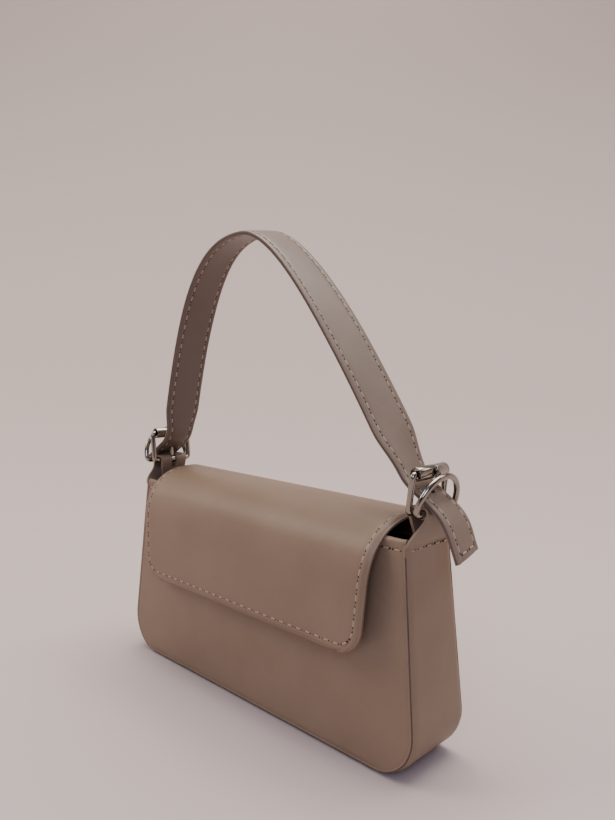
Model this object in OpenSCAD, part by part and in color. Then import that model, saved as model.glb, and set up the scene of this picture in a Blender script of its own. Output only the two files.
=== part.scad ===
// Flap shoulder bag of the baguette kind: a boxed leather body, a snap-closed flap and a
// two-ply strap that stands in an arch between two roller buckles.
// Millimetres. X runs across the bag, Y from the front to the back, Z up.
// The origin is the middle of the face that the bag stands on.

/* [Body] */
// Width of the front panel along its bottom seam
panel_bottom_w = 240; // [215:1:270]
// Width of the front panel along its top edge
panel_top_w = 216.5; // [205:0.5:240]
// Height of the front and back panels
panel_h = 117; // [100:1:135]
// Radius of the two bottom corners
corner_r = 22.5; // [12:0.5:34]
// Depth of the bag from front to back along its bottom
bottom_depth = 45.5; // [38:1:60]
// Depth of the bag from front to back along its top edge
top_depth = 37.5; // [32:0.5:46]
// How far the gusset stops short of the top edge of the panels
gusset_drop = 4; // [2:0.5:9]
// Thickness of the outer leather
skin_t = 1.3; // [0.9:0.1:1.6]
// Thickness of the board between leather and lining
board_t = 1; // [0.6:0.1:1.4]
// Thickness of the fabric lining
lining_t = 0.5; // [0.3:0.1:0.8]
// Height of the turned hem along the top of both panels
hem_h = 8; // [6:0.5:14]

/* [Flap] */
// Width of the flap where it leaves the back panel
flap_w = 195; // [180:1:200]
// Width of the flap at its lower edge
flap_end_w = 185; // [160:1:194]
// Height from the ridge down to the lower edge of the flap
flap_drop = 68.6; // [56:0.2:84]
// Rise of the ridge above the top edge of the panels
flap_rise = 8.4; // [6:0.2:14]
// Radius of the lower corners of the flap
flap_corner_r = 15; // [8:1:26]
// Open gap between the hanging flap and the front panel
flap_gap = 9.2; // [7:0.1:11]
// Height over which the flap rounds from its ridge to its straight front
flap_shoulder_h = 35.5; // [30:0.5:40]
// Thickness of the board inside the flap
flap_board_t = 0.4; // [0.4:0.1:0.7]
// Thickness of the flap's leather lining
flap_lining_t = 0.6; // [0.5:0.1:0.9]
// Height of the strip that fastens the flap to the back panel
strip_h = 18; // [12:1:28]

/* [Snap] */
// Diameter of both halves of the magnetic snap
snap_d = 17; // [13:0.5:19]
// Height of the snap's centre above the flap's lower edge
snap_rise = 12; // [11:0.5:18]
// Thickness of the snap's backing washers
washer_t = 0.3; // [0.2:0.05:0.4]

/* [Strap] */
// Width of the strap over the shoulder
strap_w = 25.5; // [22:0.5:30]
// Width of the strap at its two ends
strap_end_w = 20.5; // [18:0.5:22]
// Thickness of each of the strap's two leather plies
ply_t = 1.3; // [1:0.1:1.6]
// Thickness of the reinforcing tape between the plies
tape_t = 0.4; // [0.2:0.1:0.6]
// Height of the standing arch above its two rollers
strap_rise = 128; // [105:1:150]
// How far the top of the arch lies to the left of the middle
strap_shift = 18.5; // [0:0.5:26]
// Lean of the strap's left-hand leg from the upright
left_leg_lean = 11; // [5:1:25]
// Lean of the strap's right-hand leg from the upright
right_leg_lean = 36; // [28:1:42]
// Radius at which the strap bends where it enters a buckle
buckle_bend_r = 18; // [14:1:24]
// Length of the left-hand tail beyond its tab
left_tail_l = 5; // [3:0.5:12]
// Straight length of the right-hand tail beyond its tab
right_tail_l = 7; // [5:0.5:14]
// Length of the drooping end of the right-hand tail
tail_end_l = 15; // [8:0.5:20]
// Angle by which the right-hand tail droops
tail_droop = 34; // [10:1:40]
// Diameter of the punched holes
hole_d = 4; // [3.8:0.1:4.6]

/* [Buckles and rings] */
// Diameter of the wire of the buckle frames and keeper rings
wire_d = 3.2; // [2.6:0.1:3.5]
// Distance from a buckle's heel bar to its roller
frame_l = 18.9; // [18:0.1:22]
// Lean of a buckle frame away from the upright
frame_lean = 6.4; // [4:0.2:10]
// How much wider than the strap's end a buckle is inside, at each side
frame_room = 2.35; // [0.6:0.05:3]
// Diameter of the roller tube
roller_d = 7; // [5.8:0.1:7.4]
// Open gap between the roller and the strap below it
roller_gap = 3.5; // [3:0.1:4.4]
// Thickness of the prong
prong_t = 2; // [1.6:0.1:2.4]
// Width of the prong
prong_w = 2.6; // [2:0.1:3]
// How much wider than the strap's end a keeper ring is inside, at each side
ring_room = 4.4; // [3.8:0.1:6]
// Lean of a keeper ring away from the upright
ring_lean = 18; // [15:1:30]
// Length of a tab from the gusset to the bars that it holds
tab_l = 16.3; // [15:0.1:20]
// Width of a tab where it wraps the bars
tab_w = 20; // [16:0.5:20.5]

/* [Hidden] */
$fn = 48;

// Clearances
hinge_gap = 0.4;        // between the flap and the strip that it swings on
socket_gap = 0.3;       // between a tab and the gusset that it sways on
bar_gap = 0.15;         // between a bar and the tab lining around it
run_gap = 0.08;         // between a bar and what turns on it
strap_gap = 0.35;       // between the strap and the tab that it lies on
snap_gap = 0.4;         // between the two halves of the closed snap

// Body
lip = skin_t + 0.3;                     // height of the bottom seam above the ground
face_lean = atan((bottom_depth - top_depth) / 2 / panel_h);
side_lean = atan((panel_bottom_w - panel_top_w) / 2 / panel_h);
corner_x = panel_bottom_w / 2 - corner_r * (1 + sin(side_lean)) / cos(side_lean);
corner_steps = 9;
far = 400;                              // reach of cutting shapes
past = 5;                               // how far a layer is drawn past its top and bottom
gusset_h = panel_h - gusset_drop;
hem_t = 2 * skin_t + board_t;
wall_t = skin_t + board_t + lining_t;

// Flap, seen from the side
flap_t = skin_t + flap_board_t + flap_lining_t;
hinge_y = top_depth / 2 + skin_t;
hinge_z = lip + panel_h + hinge_gap;
back_round = 10;                        // depth of the ridge's rounding at the back
crown_flat = 6;                         // flat stretch on top of the ridge
fullness = 0.86;                        // 1 is an ellipse, less is squarer
hinge_flat = 0.6;                       // straight stretch of the flap above its hinge
ridge_z = hinge_z + flap_rise;
crown_y = hinge_y - back_round - crown_flat;
shoulder_z = ridge_z - flap_shoulder_h;
flap_end_z = ridge_z - flap_drop;
flap_board_inset = 3;

// Snap
snap_z = flap_end_z - lip + snap_rise;
flap_inside = flap_gap * cos(face_lean);    // from the front panel to the flap's inner face
snap_half_t = (flap_inside - snap_gap) / 2;
shank_r = 2;
shank_gap = 0.05;
boss_r = 2.4;
boss_h = 1;
dimple_r = 3.8;
dimple_h = 1.2;
washer_edge = 0.6;                      // how much smaller than the snap its washers are

// Tabs, bars and buckles, seen from the front at the right-hand side
tab_lining_t = 0.3;
tab_x = side_x(gusset_h) + skin_t / 2;
tab_z = lip + gusset_h;
tab_base_w = 2 * -face_y(gusset_h) - 0.2;
tab_shoulder = [tab_base_w / 2 - 2, tab_z + 5.4];
loop_r = wire_d / 2 + bar_gap + tab_lining_t + skin_t / 2;
bar_spacing = wire_d + 2.2;
bar_z = tab_z + tab_l;
heel = [tab_x + 0.3 - bar_spacing / 2, bar_z];
ring_bar = heel + [bar_spacing, 0];
sway_z = tab_z + tab_w / 2 + socket_gap;
sway_room = 3.4;                        // how far below its axis the gusset leaves room for sway
tab_foot = 3.4;                         // how far inside the gusset the tab goes back down
roller_bar = heel + frame_l * [sin(frame_lean), cos(frame_lean)];
frame_half_w = strap_end_w / 2 + frame_room + wire_d / 2;
bend_r = 2.0;                           // bend of a frame's corners, to the wire's middle
roller_half_l = frame_half_w - bend_r - 0.1;
roller_r = roller_d / 2;
roller_wall = 0.55;                     // wall of the roller at its open ends
counterbore_l = 1.6;
root_wall = 1.2;                        // wall of the prong's root around the heel bar
prong_play = 1.6;                       // room for the prong to lift in its hole
ring_half_w = strap_end_w / 2 + ring_room + wire_d / 2;
ring_bend_r = 2.4;

// Strap, seen from the front at the right-hand side
strap_t = 2 * ply_t + tape_t;
roller_reach = roller_r + roller_gap + strap_t / 2;
tab_reach = loop_r + skin_t / 2 + strap_gap + strap_t / 2;
buckle_way = ring_bar - roller_bar;
// Direction square to the strap between the roller above it and the tab below it
pass_a = atan2(buckle_way[1], buckle_way[0]) + acos(-(roller_reach + tab_reach) / norm(buckle_way));
foot = roller_bar - roller_reach * dir(pass_a);
knee = ring_bar + tab_reach * dir(pass_a);
arch_top_z = roller_bar[1] + strap_rise;
droop_r = 12;
taper_z = roller_bar[1] + 3;
taper_l = 14;                           // height over which the strap widens
prong_cross = foot + 0.34 * (knee - foot);
hole_1 = prong_cross;

// Colours
leather = [0.54, 0.45, 0.38];
fabric = [0.06, 0.06, 0.07];
board = [0.62, 0.55, 0.45];
tape = [0.25, 0.18, 0.14];
nickel = [0.80, 0.79, 0.77];

// Points

function dir(a) = [cos(a), sin(a)];
function down(a) = [sin(a), -cos(a)];

// Half width of the body's outline at a height above the bottom seam
function side_x(z, inset = 0) = panel_bottom_w / 2 - (inset + z * sin(side_lean)) / cos(side_lean);

function arc(c, r, a1, a2, steps) = [for (i = [0:steps]) c + r * dir(a1 + (a2 - a1) * i / steps)];

function right_edge(inset, top) = concat([[side_x(top, inset), top]],
    arc([corner_x, corner_r], corner_r - inset, side_lean, -90, corner_steps));

function reversed(p) = [for (i = [len(p) - 1:-1:0]) p[i]];
function flipped(p) = [for (q = p) [-q[0], q[1]]];

// The body's outline, open at the top, from its right-hand top corner round to the left
function outline(inset, top) = let (r = right_edge(inset, top)) concat(r, reversed(flipped(r)));

// Outer face of the front panel at a height above the bottom seam
function face_y(z) = -(bottom_depth - (bottom_depth - top_depth) * z / panel_h) / 2;

function unit(v) = v / norm(v);
function way(p, i) = unit(p[min(i + 1, len(p) - 1)] - p[max(i - 1, 0)]);

// A path moved to its left by d
function beside(p, d) = [for (i = [0:len(p) - 1]) let (w = way(p, i)) p[i] + d * [-w[1], w[0]]];

// The closed outline of a strip between two distances to the left of a path
function strip(p, d1, d2) = concat(beside(p, d1), reversed(beside(p, d2)));

function bezier(p, q, r, s, steps) = [for (i = [0:steps - 1]) let (t = i / steps, u = 1 - t)
    u * u * u * p + 3 * u * u * t * q + 3 * u * t * t * r + t * t * t * s];

// A smooth curve through knots; the first and last only steer it
function curve_point(a, b, c, d, t) = 0.5 * (2 * b + (c - a) * t
    + (2 * a - 5 * b + 4 * c - d) * t * t + (3 * b - a - 3 * c + d) * t * t * t);
function curve(k, n) = concat([for (i = [1:len(k) - 3]) for (j = [0:n - 1])
    curve_point(k[i - 1], k[i], k[i + 1], k[i + 2], j / n)], [k[len(k) - 2]]);

// Outer surface of the flap from its hinge over the ridge to its lower edge, as [y, z]
function flap_front(z) = face_y(z - lip) - flap_gap - flap_t;
function flap_path() = concat(
    [[hinge_y, hinge_z]],
    [for (a = [0:15:90]) [crown_y + crown_flat + back_round * cos(a),
                          hinge_z + hinge_flat + (flap_rise - hinge_flat) * sin(a)]],
    [for (a = [0:9:90]) [crown_y - (crown_y - flap_front(shoulder_z)) * pow(sin(a), fullness),
                         shoulder_z + flap_shoulder_h * pow(cos(a), fullness)]],
    [[flap_front(flap_end_z), flap_end_z]]);

// The flap seen from the front
function flap_outline(inset) = let (
        w = flap_end_w / 2 - inset,
        r = flap_corner_r - inset,
        z = flap_end_z + inset,
        right = concat([[flap_w / 2 - inset, ridge_z + past]], arc([w - r, z + r], r, 0, -90, 8)))
    concat(right, reversed(flipped(right)));

// Middle of the tab's leather around both bars, from the gusset up, over and back down
outer_a = -8;
inner_a = 188;
function tab_path() = concat(
    [[tab_x, tab_z]],
    arc(ring_bar, loop_r, outer_a, 90, 6),
    arc(heel, loop_r, 90, inner_a, 6),
    [[tab_x - tab_foot, tab_z]]);

// Middle of one half of the strap, from the top of the arch down to the tail's end
function half_strap(shift, lean, top_reach, leg_reach, tail) = let (
        bend_mid = foot + buckle_bend_r * dir(pass_a),
        leg = bend_mid - buckle_bend_r * dir(lean),
        top = [shift, arch_top_z])
    concat(bezier(top, top + [top_reach * strap_rise, 0], leg - leg_reach * strap_rise * down(lean), leg, 16),
           arc(bend_mid, buckle_bend_r, 180 + lean, 180 + pass_a, 4), tail);

function right_tail() = let (
        start = knee + right_tail_l * down(pass_a),
        mid = start - droop_r * dir(pass_a),
        bend = arc(mid, droop_r, pass_a, pass_a - tail_droop, 4))
    concat([knee], bend, [bend[4] + tail_end_l * down(pass_a - tail_droop)]);

function left_tail() = [knee, knee + left_tail_l * down(pass_a)];

function without_first(p) = [for (i = [1:len(p) - 1]) p[i]];

// Middle of the strap from its left-hand tail over the arch to its right-hand tail
strap_path = concat(
    reversed(flipped(half_strap(strap_shift, left_leg_lean, 0.286, 0.81, left_tail()))),
    without_first(half_strap(-strap_shift, right_leg_lean, 0.318, 0.105, right_tail())));

// Middle of the prong from the heel bar through the strap and over the roller
function over_roller(room, a) = roller_bar + (roller_r + room + prong_t / 2) * dir(a);
function prong_path() = let (tip = over_roller(0.4, 44))
    curve([heel - [0, 6], heel, prong_cross, over_roller(1.5, -45), over_roller(0.35, 6), tip,
           tip + [-1, 2]], 4);

// Helpers

module along_x(w) {
    rotate([90, 0, 90]) linear_extrude(w, center = true) children();
}

module along_y(w) {
    rotate([90, 0, 0]) linear_extrude(w, center = true) children();
}

module left_of() {
    mirror([1, 0, 0]) children();
}

// A layer of the front wall between two depths below its outer face
module front_layer(d1, d2, bottom, top) {
    c = cos(face_lean);
    low = -past;
    high = panel_h + past;
    translate([0, 0, lip]) intersection() {
        along_y(far) polygon(outline(0, top));
        along_x(far) polygon([[face_y(low) + d1 / c, low], [face_y(low) + d2 / c, low],
                              [face_y(high) + d2 / c, high], [face_y(high) + d1 / c, high]]);
        translate([-far / 2, -far / 2, bottom]) cube([far, far, far]);
    }
}

// A layer of the gusset between two insets, kept between the two panels
module gusset_layer(inset1, inset2, end_depth) {
    c = cos(face_lean);
    low = -past;
    high = panel_h + past;
    y_low = face_y(low) + end_depth / c;
    y_high = face_y(high) + end_depth / c;
    translate([0, 0, lip]) intersection() {
        along_y(far) polygon(concat(outline(inset1, gusset_h), reversed(outline(inset2, gusset_h))));
        along_x(far) polygon([[y_low, low], [-y_low, low], [-y_high, high], [y_high, high]]);
    }
}

// A place on the front panel's face, with Z pointing out of it
module on_front_face(z) {
    translate([0, face_y(z), lip + z]) rotate([90 - face_lean, 0, 0]) children();
}

// The side view of the whole front wall, with its top edge folded over in a half round
module folded_face() {
    r = hem_t / 2;
    c = cos(face_lean);
    fold = [face_y(panel_h - r) + r / c, panel_h - r];
    translate([0, 0, lip]) along_x(far) polygon(concat([[face_y(-past), -past]],
        arc(fold, r, 180 - face_lean, -face_lean, 12), [[face_y(-past) + hem_t / c, -past]]));
}

module wall_shell() {
    intersection() {
        union() {
            front_layer(0, skin_t, -past, panel_h);
            front_layer(skin_t + board_t, hem_t, panel_h - hem_h, panel_h);
            front_layer(0, hem_t, panel_h - skin_t, panel_h);
        }
        folded_face();
    }
}

module wall_board() {
    front_layer(skin_t, skin_t + board_t, -past, panel_h - skin_t);
}

module wall_lining() {
    front_layer(skin_t + board_t, wall_t, -past, panel_h - hem_h);
}

// The outline of the swaying part of a tab, seen from the side
module tab_face() {
    translate([-tab_w / 2, sway_z]) square([tab_w, 3 * tab_l]);
    translate([0, sway_z]) circle(d = tab_w, $fn = 64);
}

module tab_slit() {
    slit_w = prong_w + 1.6;
    translate([heel[0] - 2 * loop_r, -slit_w / 2, heel[1] - 1.6 * loop_r])
        cube([2 * loop_r + wire_d, slit_w, 4 * loop_r]);
}

// A layer of the right-hand tab between two distances from its middle
module tab_layer(d1, d2) {
    difference() {
        intersection() {
            along_y(2 * tab_w) polygon(strip(tab_path(), d1, d2));
            along_x(far) tab_face();
        }
        tab_slit();
    }
}

// The part of the gusset's leather that flanks the right-hand tab
module tab_cheek() {
    overlap = 1.5;
    base = [tab_x + overlap * tan(side_lean), tab_z - overlap];
    wing = tab_w / 2 + socket_gap;
    wing_z = sway_z - sway_room;
    leg = strip([base, [tab_x, tab_z], ring_bar + loop_r * dir(outer_a)], -skin_t / 2, skin_t / 2);
    intersection() {
        along_y(far) polygon(leg);
        along_x(far) difference() {
            polygon([[-tab_base_w / 2, tab_z - overlap], [tab_base_w / 2, tab_z - overlap],
                     tab_shoulder, [wing, wing_z], [-wing, wing_z],
                     [-tab_shoulder[0], tab_shoulder[1]]]);
            translate([0, sway_z]) circle(r = wing, $fn = 64);
            translate([-wing, sway_z]) square([2 * wing, tab_w]);
        }
    }
}

// A straight run of wire along Y, centred
module rod(l, d = wire_d) {
    rotate([90, 0, 0]) cylinder(d = d, h = l, center = true);
}

// A bend of wire in the YZ plane between two angles from the Y axis
module bend(r, a1, a2) {
    rotate([90, 0, 90]) rotate([0, 0, a1]) rotate_extrude(angle = a2 - a1)
        translate([r, 0]) circle(d = wire_d);
}

// Both side bars, both end bars and the four bends of a buckle frame
module frame_wire() {
    mid_y = frame_half_w - bend_r;
    high = frame_l - bend_r;
    rod(2 * mid_y);
    translate([0, 0, frame_l]) rod(2 * mid_y);
    for (s = [-1, 1]) {
        translate([0, s * frame_half_w, bend_r]) cylinder(d = wire_d, h = frame_l - 2 * bend_r);
    }
    translate([0, mid_y, bend_r]) bend(bend_r, -90, 0);
    translate([0, mid_y, high]) bend(bend_r, 0, 90);
    translate([0, -mid_y, high]) bend(bend_r, 90, 180);
    translate([0, -mid_y, bend_r]) bend(bend_r, 180, 270);
}

// The straight bar, two tight bends and the half round of a D-shaped ring
module ring_wire() {
    mid_y = ring_half_w - ring_bend_r;
    rod(2 * mid_y);
    translate([0, mid_y, ring_bend_r]) bend(ring_bend_r, -90, 0);
    translate([0, -mid_y, ring_bend_r]) bend(ring_bend_r, 180, 270);
    translate([0, 0, ring_bend_r]) bend(ring_half_w, 0, 180);
}

// A place given as [x, z] in the middle plane of the bag
module at(p) {
    translate([p[0], 0, p[1]]) children();
}

// A place on the middle of the strap inside the right-hand buckle, with Z square to it
module on_strap(p) {
    at(p) rotate([0, 90 - pass_a, 0]) children();
}

// The slotted hole that the prong goes through
module prong_hole() {
    cut = 4 * strap_t;
    on_strap(hole_1) {
        cylinder(d = hole_d, h = cut, center = true);
        translate([prong_play, 0, 0]) cylinder(d = hole_d, h = cut, center = true);
        translate([prong_play / 2, 0, 0]) cube([prong_play, hole_d, cut], center = true);
    }
}

// The strap seen from the side: narrow at the buckles, wide over the shoulder
module strap_face() {
    e = strap_end_w / 2;
    w = strap_w / 2;
    polygon([[-e, 0], [e, 0], [e, taper_z], [w, taper_z + taper_l], [w, far],
             [-w, far], [-w, taper_z + taper_l], [-e, taper_z]]);
}

module strap_layer(d1, d2) {
    difference() {
        intersection() {
            along_y(2 * strap_w) polygon(strip(strap_path, d1, d2));
            along_x(far) strap_face();
        }
        prong_hole();
        left_of() prong_hole();
    }
}

module flap_layer(d1, d2, inset) {
    intersection() {
        along_x(far) polygon(strip(flap_path(), d1, d2));
        along_y(far) polygon(flap_outline(inset));
    }
}

// Body pieces

module front_panel() {
    color(leather) difference() {
        wall_shell();
        on_front_face(snap_z) cylinder(r = shank_r + shank_gap, h = 20, center = true);
    }
}

module back_panel() {
    color(leather) mirror([0, 1, 0]) wall_shell();
}

module gusset() {
    color(leather) {
        gusset_layer(-skin_t, 0, 0);
        tab_cheek();
        left_of() tab_cheek();
    }
}

module front_board() {
    color(board) difference() {
        wall_board();
        on_front_face(snap_z) {
            cylinder(r = shank_r + shank_gap, h = 20, center = true);
            translate([0, 0, -wall_t])
                cylinder(d = snap_d - 2 * washer_edge + 2 * shank_gap, h = lining_t + washer_t);
        }
    }
}

module back_board() {
    color(board) mirror([0, 1, 0]) wall_board();
}

module gusset_board() {
    color(board) gusset_layer(0, board_t, wall_t);
}

module front_lining() {
    color(fabric) wall_lining();
}

module back_lining() {
    color(fabric) mirror([0, 1, 0]) wall_lining();
}

module gusset_lining() {
    color(fabric) gusset_layer(board_t, board_t + lining_t, wall_t);
}

// The leather below the hinge that is sewn flat to the outside of the back panel
module flap_strip() {
    t = skin_t / cos(face_lean);
    low = panel_h - strip_h;
    color(leather) translate([0, 0, lip]) along_x(flap_w)
        polygon([[-face_y(low), low], [-face_y(panel_h), panel_h],
                 [-face_y(panel_h) + t, panel_h], [-face_y(low) + t, low]]);
}

module snap_socket() {
    color(nickel) on_front_face(snap_z) {
        difference() {
            cylinder(d = snap_d, h = snap_half_t);
            translate([0, 0, snap_half_t - dimple_h]) cylinder(r = dimple_r, h = 2 * dimple_h);
        }
        translate([0, 0, washer_t - skin_t - board_t]) cylinder(r = shank_r, h = skin_t + board_t);
    }
}

module snap_socket_washer() {
    color(nickel) on_front_face(snap_z) translate([0, 0, -skin_t - board_t])
        cylinder(d = snap_d - 2 * washer_edge, h = washer_t);
}

// Flap pieces

module flap_outer() {
    color(leather) flap_layer(0, skin_t, 0);
}

module flap_board() {
    color(board) difference() {
        flap_layer(skin_t, skin_t + flap_board_t, flap_board_inset);
        on_front_face(snap_z) translate([0, 0, flap_gap])
            cylinder(d = snap_d - 2 * washer_edge + 2 * shank_gap, h = 20, center = true);
    }
}

module flap_lining() {
    color(leather) difference() {
        flap_layer(skin_t + flap_board_t, flap_t, 0);
        on_front_face(snap_z) cylinder(r = shank_r + shank_gap, h = 40, center = true);
    }
}

module snap_stud() {
    half_boss = boss_h / 2;
    color(nickel) on_front_face(snap_z) {
        translate([0, 0, snap_half_t + snap_gap]) cylinder(d = snap_d, h = snap_half_t);
        translate([0, 0, snap_half_t + snap_gap - boss_h]) cylinder(r = boss_r, h = boss_h + half_boss);
        translate([0, 0, flap_inside - half_boss]) cylinder(r = shank_r, h = flap_lining_t + half_boss);
    }
}

module snap_stud_washer() {
    color(nickel) on_front_face(snap_z) translate([0, 0, flap_inside + flap_lining_t])
        cylinder(d = snap_d - 2 * washer_edge, h = washer_t);
}

// Strap pieces

module strap_outer() {
    color(leather) strap_layer(tape_t / 2, strap_t / 2);
}

module strap_tape() {
    color(tape) strap_layer(-tape_t / 2, tape_t / 2);
}

module strap_inner() {
    color(leather) strap_layer(-strap_t / 2, -tape_t / 2);
}

// Tabs, buckles and rings, drawn at the right-hand side

module right_tab() {
    color(leather) tab_layer(-skin_t / 2, skin_t / 2);
}

module right_tab_lining() {
    color(fabric) tab_layer(skin_t / 2, skin_t / 2 + tab_lining_t);
}

module right_buckle_frame() {
    color(nickel) at(heel) rotate([0, frame_lean, 0]) frame_wire();
}

module right_roller() {
    bore_d = wire_d + 2 * run_gap;
    color(nickel) at(roller_bar) difference() {
        rod(2 * roller_half_l, roller_d);
        rod(3 * roller_half_l, bore_d);
        for (s = [-1, 1]) {
            translate([0, s * roller_half_l, 0]) rod(2 * counterbore_l, roller_d - 2 * roller_wall);
        }
    }
}

module right_prong() {
    bore_d = wire_d + 2 * run_gap;
    color(nickel) difference() {
        union() {
            along_y(prong_w) polygon(strip(prong_path(), -prong_t / 2, prong_t / 2));
            at(heel) rod(prong_w, bore_d + 2 * root_wall);
        }
        at(heel) rod(2 * prong_w, bore_d);
    }
}

module right_keeper_ring() {
    color(nickel) at(ring_bar) rotate([0, ring_lean, 0]) ring_wire();
}

module left_tab() {
    left_of() right_tab();
}

module left_tab_lining() {
    left_of() right_tab_lining();
}

module left_buckle_frame() {
    left_of() right_buckle_frame();
}

module left_roller() {
    left_of() right_roller();
}

module left_prong() {
    left_of() right_prong();
}

module left_keeper_ring() {
    left_of() right_keeper_ring();
}

front_panel();
back_panel();
gusset();
front_board();
back_board();
gusset_board();
front_lining();
back_lining();
gusset_lining();
flap_strip();
snap_socket();
snap_socket_washer();
flap_outer();
flap_board();
flap_lining();
snap_stud();
snap_stud_washer();
strap_outer();
strap_tape();
strap_inner();
left_tab();
right_tab();
left_tab_lining();
right_tab_lining();
left_buckle_frame();
right_buckle_frame();
left_roller();
right_roller();
left_prong();
right_prong();
left_keeper_ring();
right_keeper_ring();
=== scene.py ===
"""The baguette bag's leather, lining, thread and hardware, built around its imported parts."""

import math
from bisect import bisect_left

import bmesh
import bpy
from mathutils import Matrix, Vector


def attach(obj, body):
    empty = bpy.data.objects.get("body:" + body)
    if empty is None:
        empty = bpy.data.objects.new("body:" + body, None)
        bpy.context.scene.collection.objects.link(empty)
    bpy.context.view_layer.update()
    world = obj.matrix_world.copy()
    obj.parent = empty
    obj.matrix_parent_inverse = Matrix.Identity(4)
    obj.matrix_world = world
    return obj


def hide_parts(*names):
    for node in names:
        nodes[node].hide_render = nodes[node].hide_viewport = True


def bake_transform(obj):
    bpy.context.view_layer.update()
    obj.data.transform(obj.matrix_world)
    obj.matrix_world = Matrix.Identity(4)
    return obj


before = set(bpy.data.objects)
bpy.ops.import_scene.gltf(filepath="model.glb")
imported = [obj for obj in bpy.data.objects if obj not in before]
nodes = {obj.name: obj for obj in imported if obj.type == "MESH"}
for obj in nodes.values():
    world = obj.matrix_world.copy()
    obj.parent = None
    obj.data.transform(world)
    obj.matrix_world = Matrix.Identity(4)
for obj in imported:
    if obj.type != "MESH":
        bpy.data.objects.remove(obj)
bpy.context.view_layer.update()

# Sizes of the part in millimetres, as its source has them; heights count from the floor.
MM = 0.001
BOTTOM_W, TOP_W, PANEL_H, CORNER_R = 240.0, 216.5, 117.0, 22.5
BOTTOM_DEPTH, TOP_DEPTH = 45.5, 37.5
LEATHER, SEAM_Z = 1.3, 1.6
HEM_T = 3.6
GUSSET_TOP = 113.0
LEAN = math.atan((BOTTOM_W - TOP_W) / 2 / PANEL_H)
CORNER_X = BOTTOM_W / 2 - CORNER_R * (1 + math.sin(LEAN)) / math.cos(LEAN)

FLAP_W, FLAP_END_W, FLAP_R = 97.5, 92.5, 15.0      # half widths and corner
FLAP_T, FLAP_GAP, FLAP_STITCH = 2.3, 9.2, 4.3
RIDGE_Z, HINGE_Y, HINGE_Z, FULLNESS = 127.4, 20.05, 119.0, 0.86
FLAP_END_Z, SHOULDER_Z = 58.8, 91.9

WIRE_R, LOOP_R = 1.6, 3.35                         # wire, and the tab's outer face around it
TAB_X = BOTTOM_W / 2 - GUSSET_TOP * math.tan(LEAN) + 0.65
HEEL = Vector((TAB_X - 2.4, 130.9))                # middles of the bars, as (x, z)
RING_BAR = HEEL + Vector((5.4, 0))
FRAME_LEAN, RING_LEAN = math.radians(6.4), math.radians(18)
FRAME_L, FRAME_HALF, FRAME_BEND = 18.9, 14.2, 2.0
RING_HALF, RING_BEND = 16.25, 2.4
ROLLER = HEEL + FRAME_L * Vector((math.sin(FRAME_LEAN), math.cos(FRAME_LEAN)))
ROLLER_R, ROLLER_HALF, ROLLER_GAP = 3.5, 12.1, 3.5
SLIT_HALF = 2.1

STRAP_T, STRAP_HALF, STRAP_END_HALF = 3.0, 12.75, 10.25
STRAP_RISE, STRAP_SHIFT = 128.0, 18.5
STRAP_STITCH = 3.1
STITCH_PITCH = 6.5
STRAP_HOLE_R = 2.0
HEM_STITCH_Z = 111.6
SEAM_SHADE_CORD_R = 0.42                                 # the dark cord up each corner, painted shade in the seam's groove
BORE_R = 1.68                                      # around a bar, for a roller or a prong
PRONG_HALF_W, PRONG_HALF_T = 1.3, 1.0
TAIL_SKEW_X, TAIL_SKEW_Z = 1.1, 1.7                # how far the tail's end is turned askew
TAB_CREST_Z = 127.4                                # above this the tab's leather turns over

CREASE = math.radians(38)                          # sharper edges than this are shaded as edges
PAPER_PALE, ROOM_SHADE_PAINTED = "c2b4b0", "2b241f"
CAMERA_AT, CAMERA_TURN = (0.2984, -0.2831, 0.2072), (43.96, 4.79, 0.73)
FOCAL_PIXELS, PHOTO_PIXELS = 694.5, 820


def hex_colour(text):
    """An sRGB hex value as the linear colour that a shader takes."""
    parts = [int(text[i:i + 2], 16) / 255 for i in (0, 2, 4)]
    return [c / 12.92 if c < 0.04045 else ((c + 0.055) / 1.055) ** 2.4 for c in parts] + [1.0]


def per(mm):
    """Texture scale on Object coordinates for a pattern that repeats every so many millimetres."""
    return 1000.0 / mm


# Materials

def start(name, colour, roughness, **sockets):
    material = bpy.data.materials.new(name)
    material.use_nodes = True
    shader = material.node_tree.nodes["Principled BSDF"]
    shader.inputs["Base Color"].default_value = hex_colour(colour)
    shader.inputs["Roughness"].default_value = roughness
    for socket, value in sockets.items():
        shader.inputs[socket.replace("_", " ")].default_value = value
    return material, shader


def add(material, kind, options=None, values=None, links=None):
    """Adds one node with its options, its sockets' values and the outputs that feed it."""
    tree = material.node_tree
    node = tree.nodes.new("ShaderNode" + kind)
    for name, value in (options or {}).items():
        setattr(node, name, value)
    for name, value in (values or {}).items():
        node.inputs[name].default_value = value
    for name, source in (links or {}).items():
        tree.links.new(source, node.inputs[name])
    return node


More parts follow.
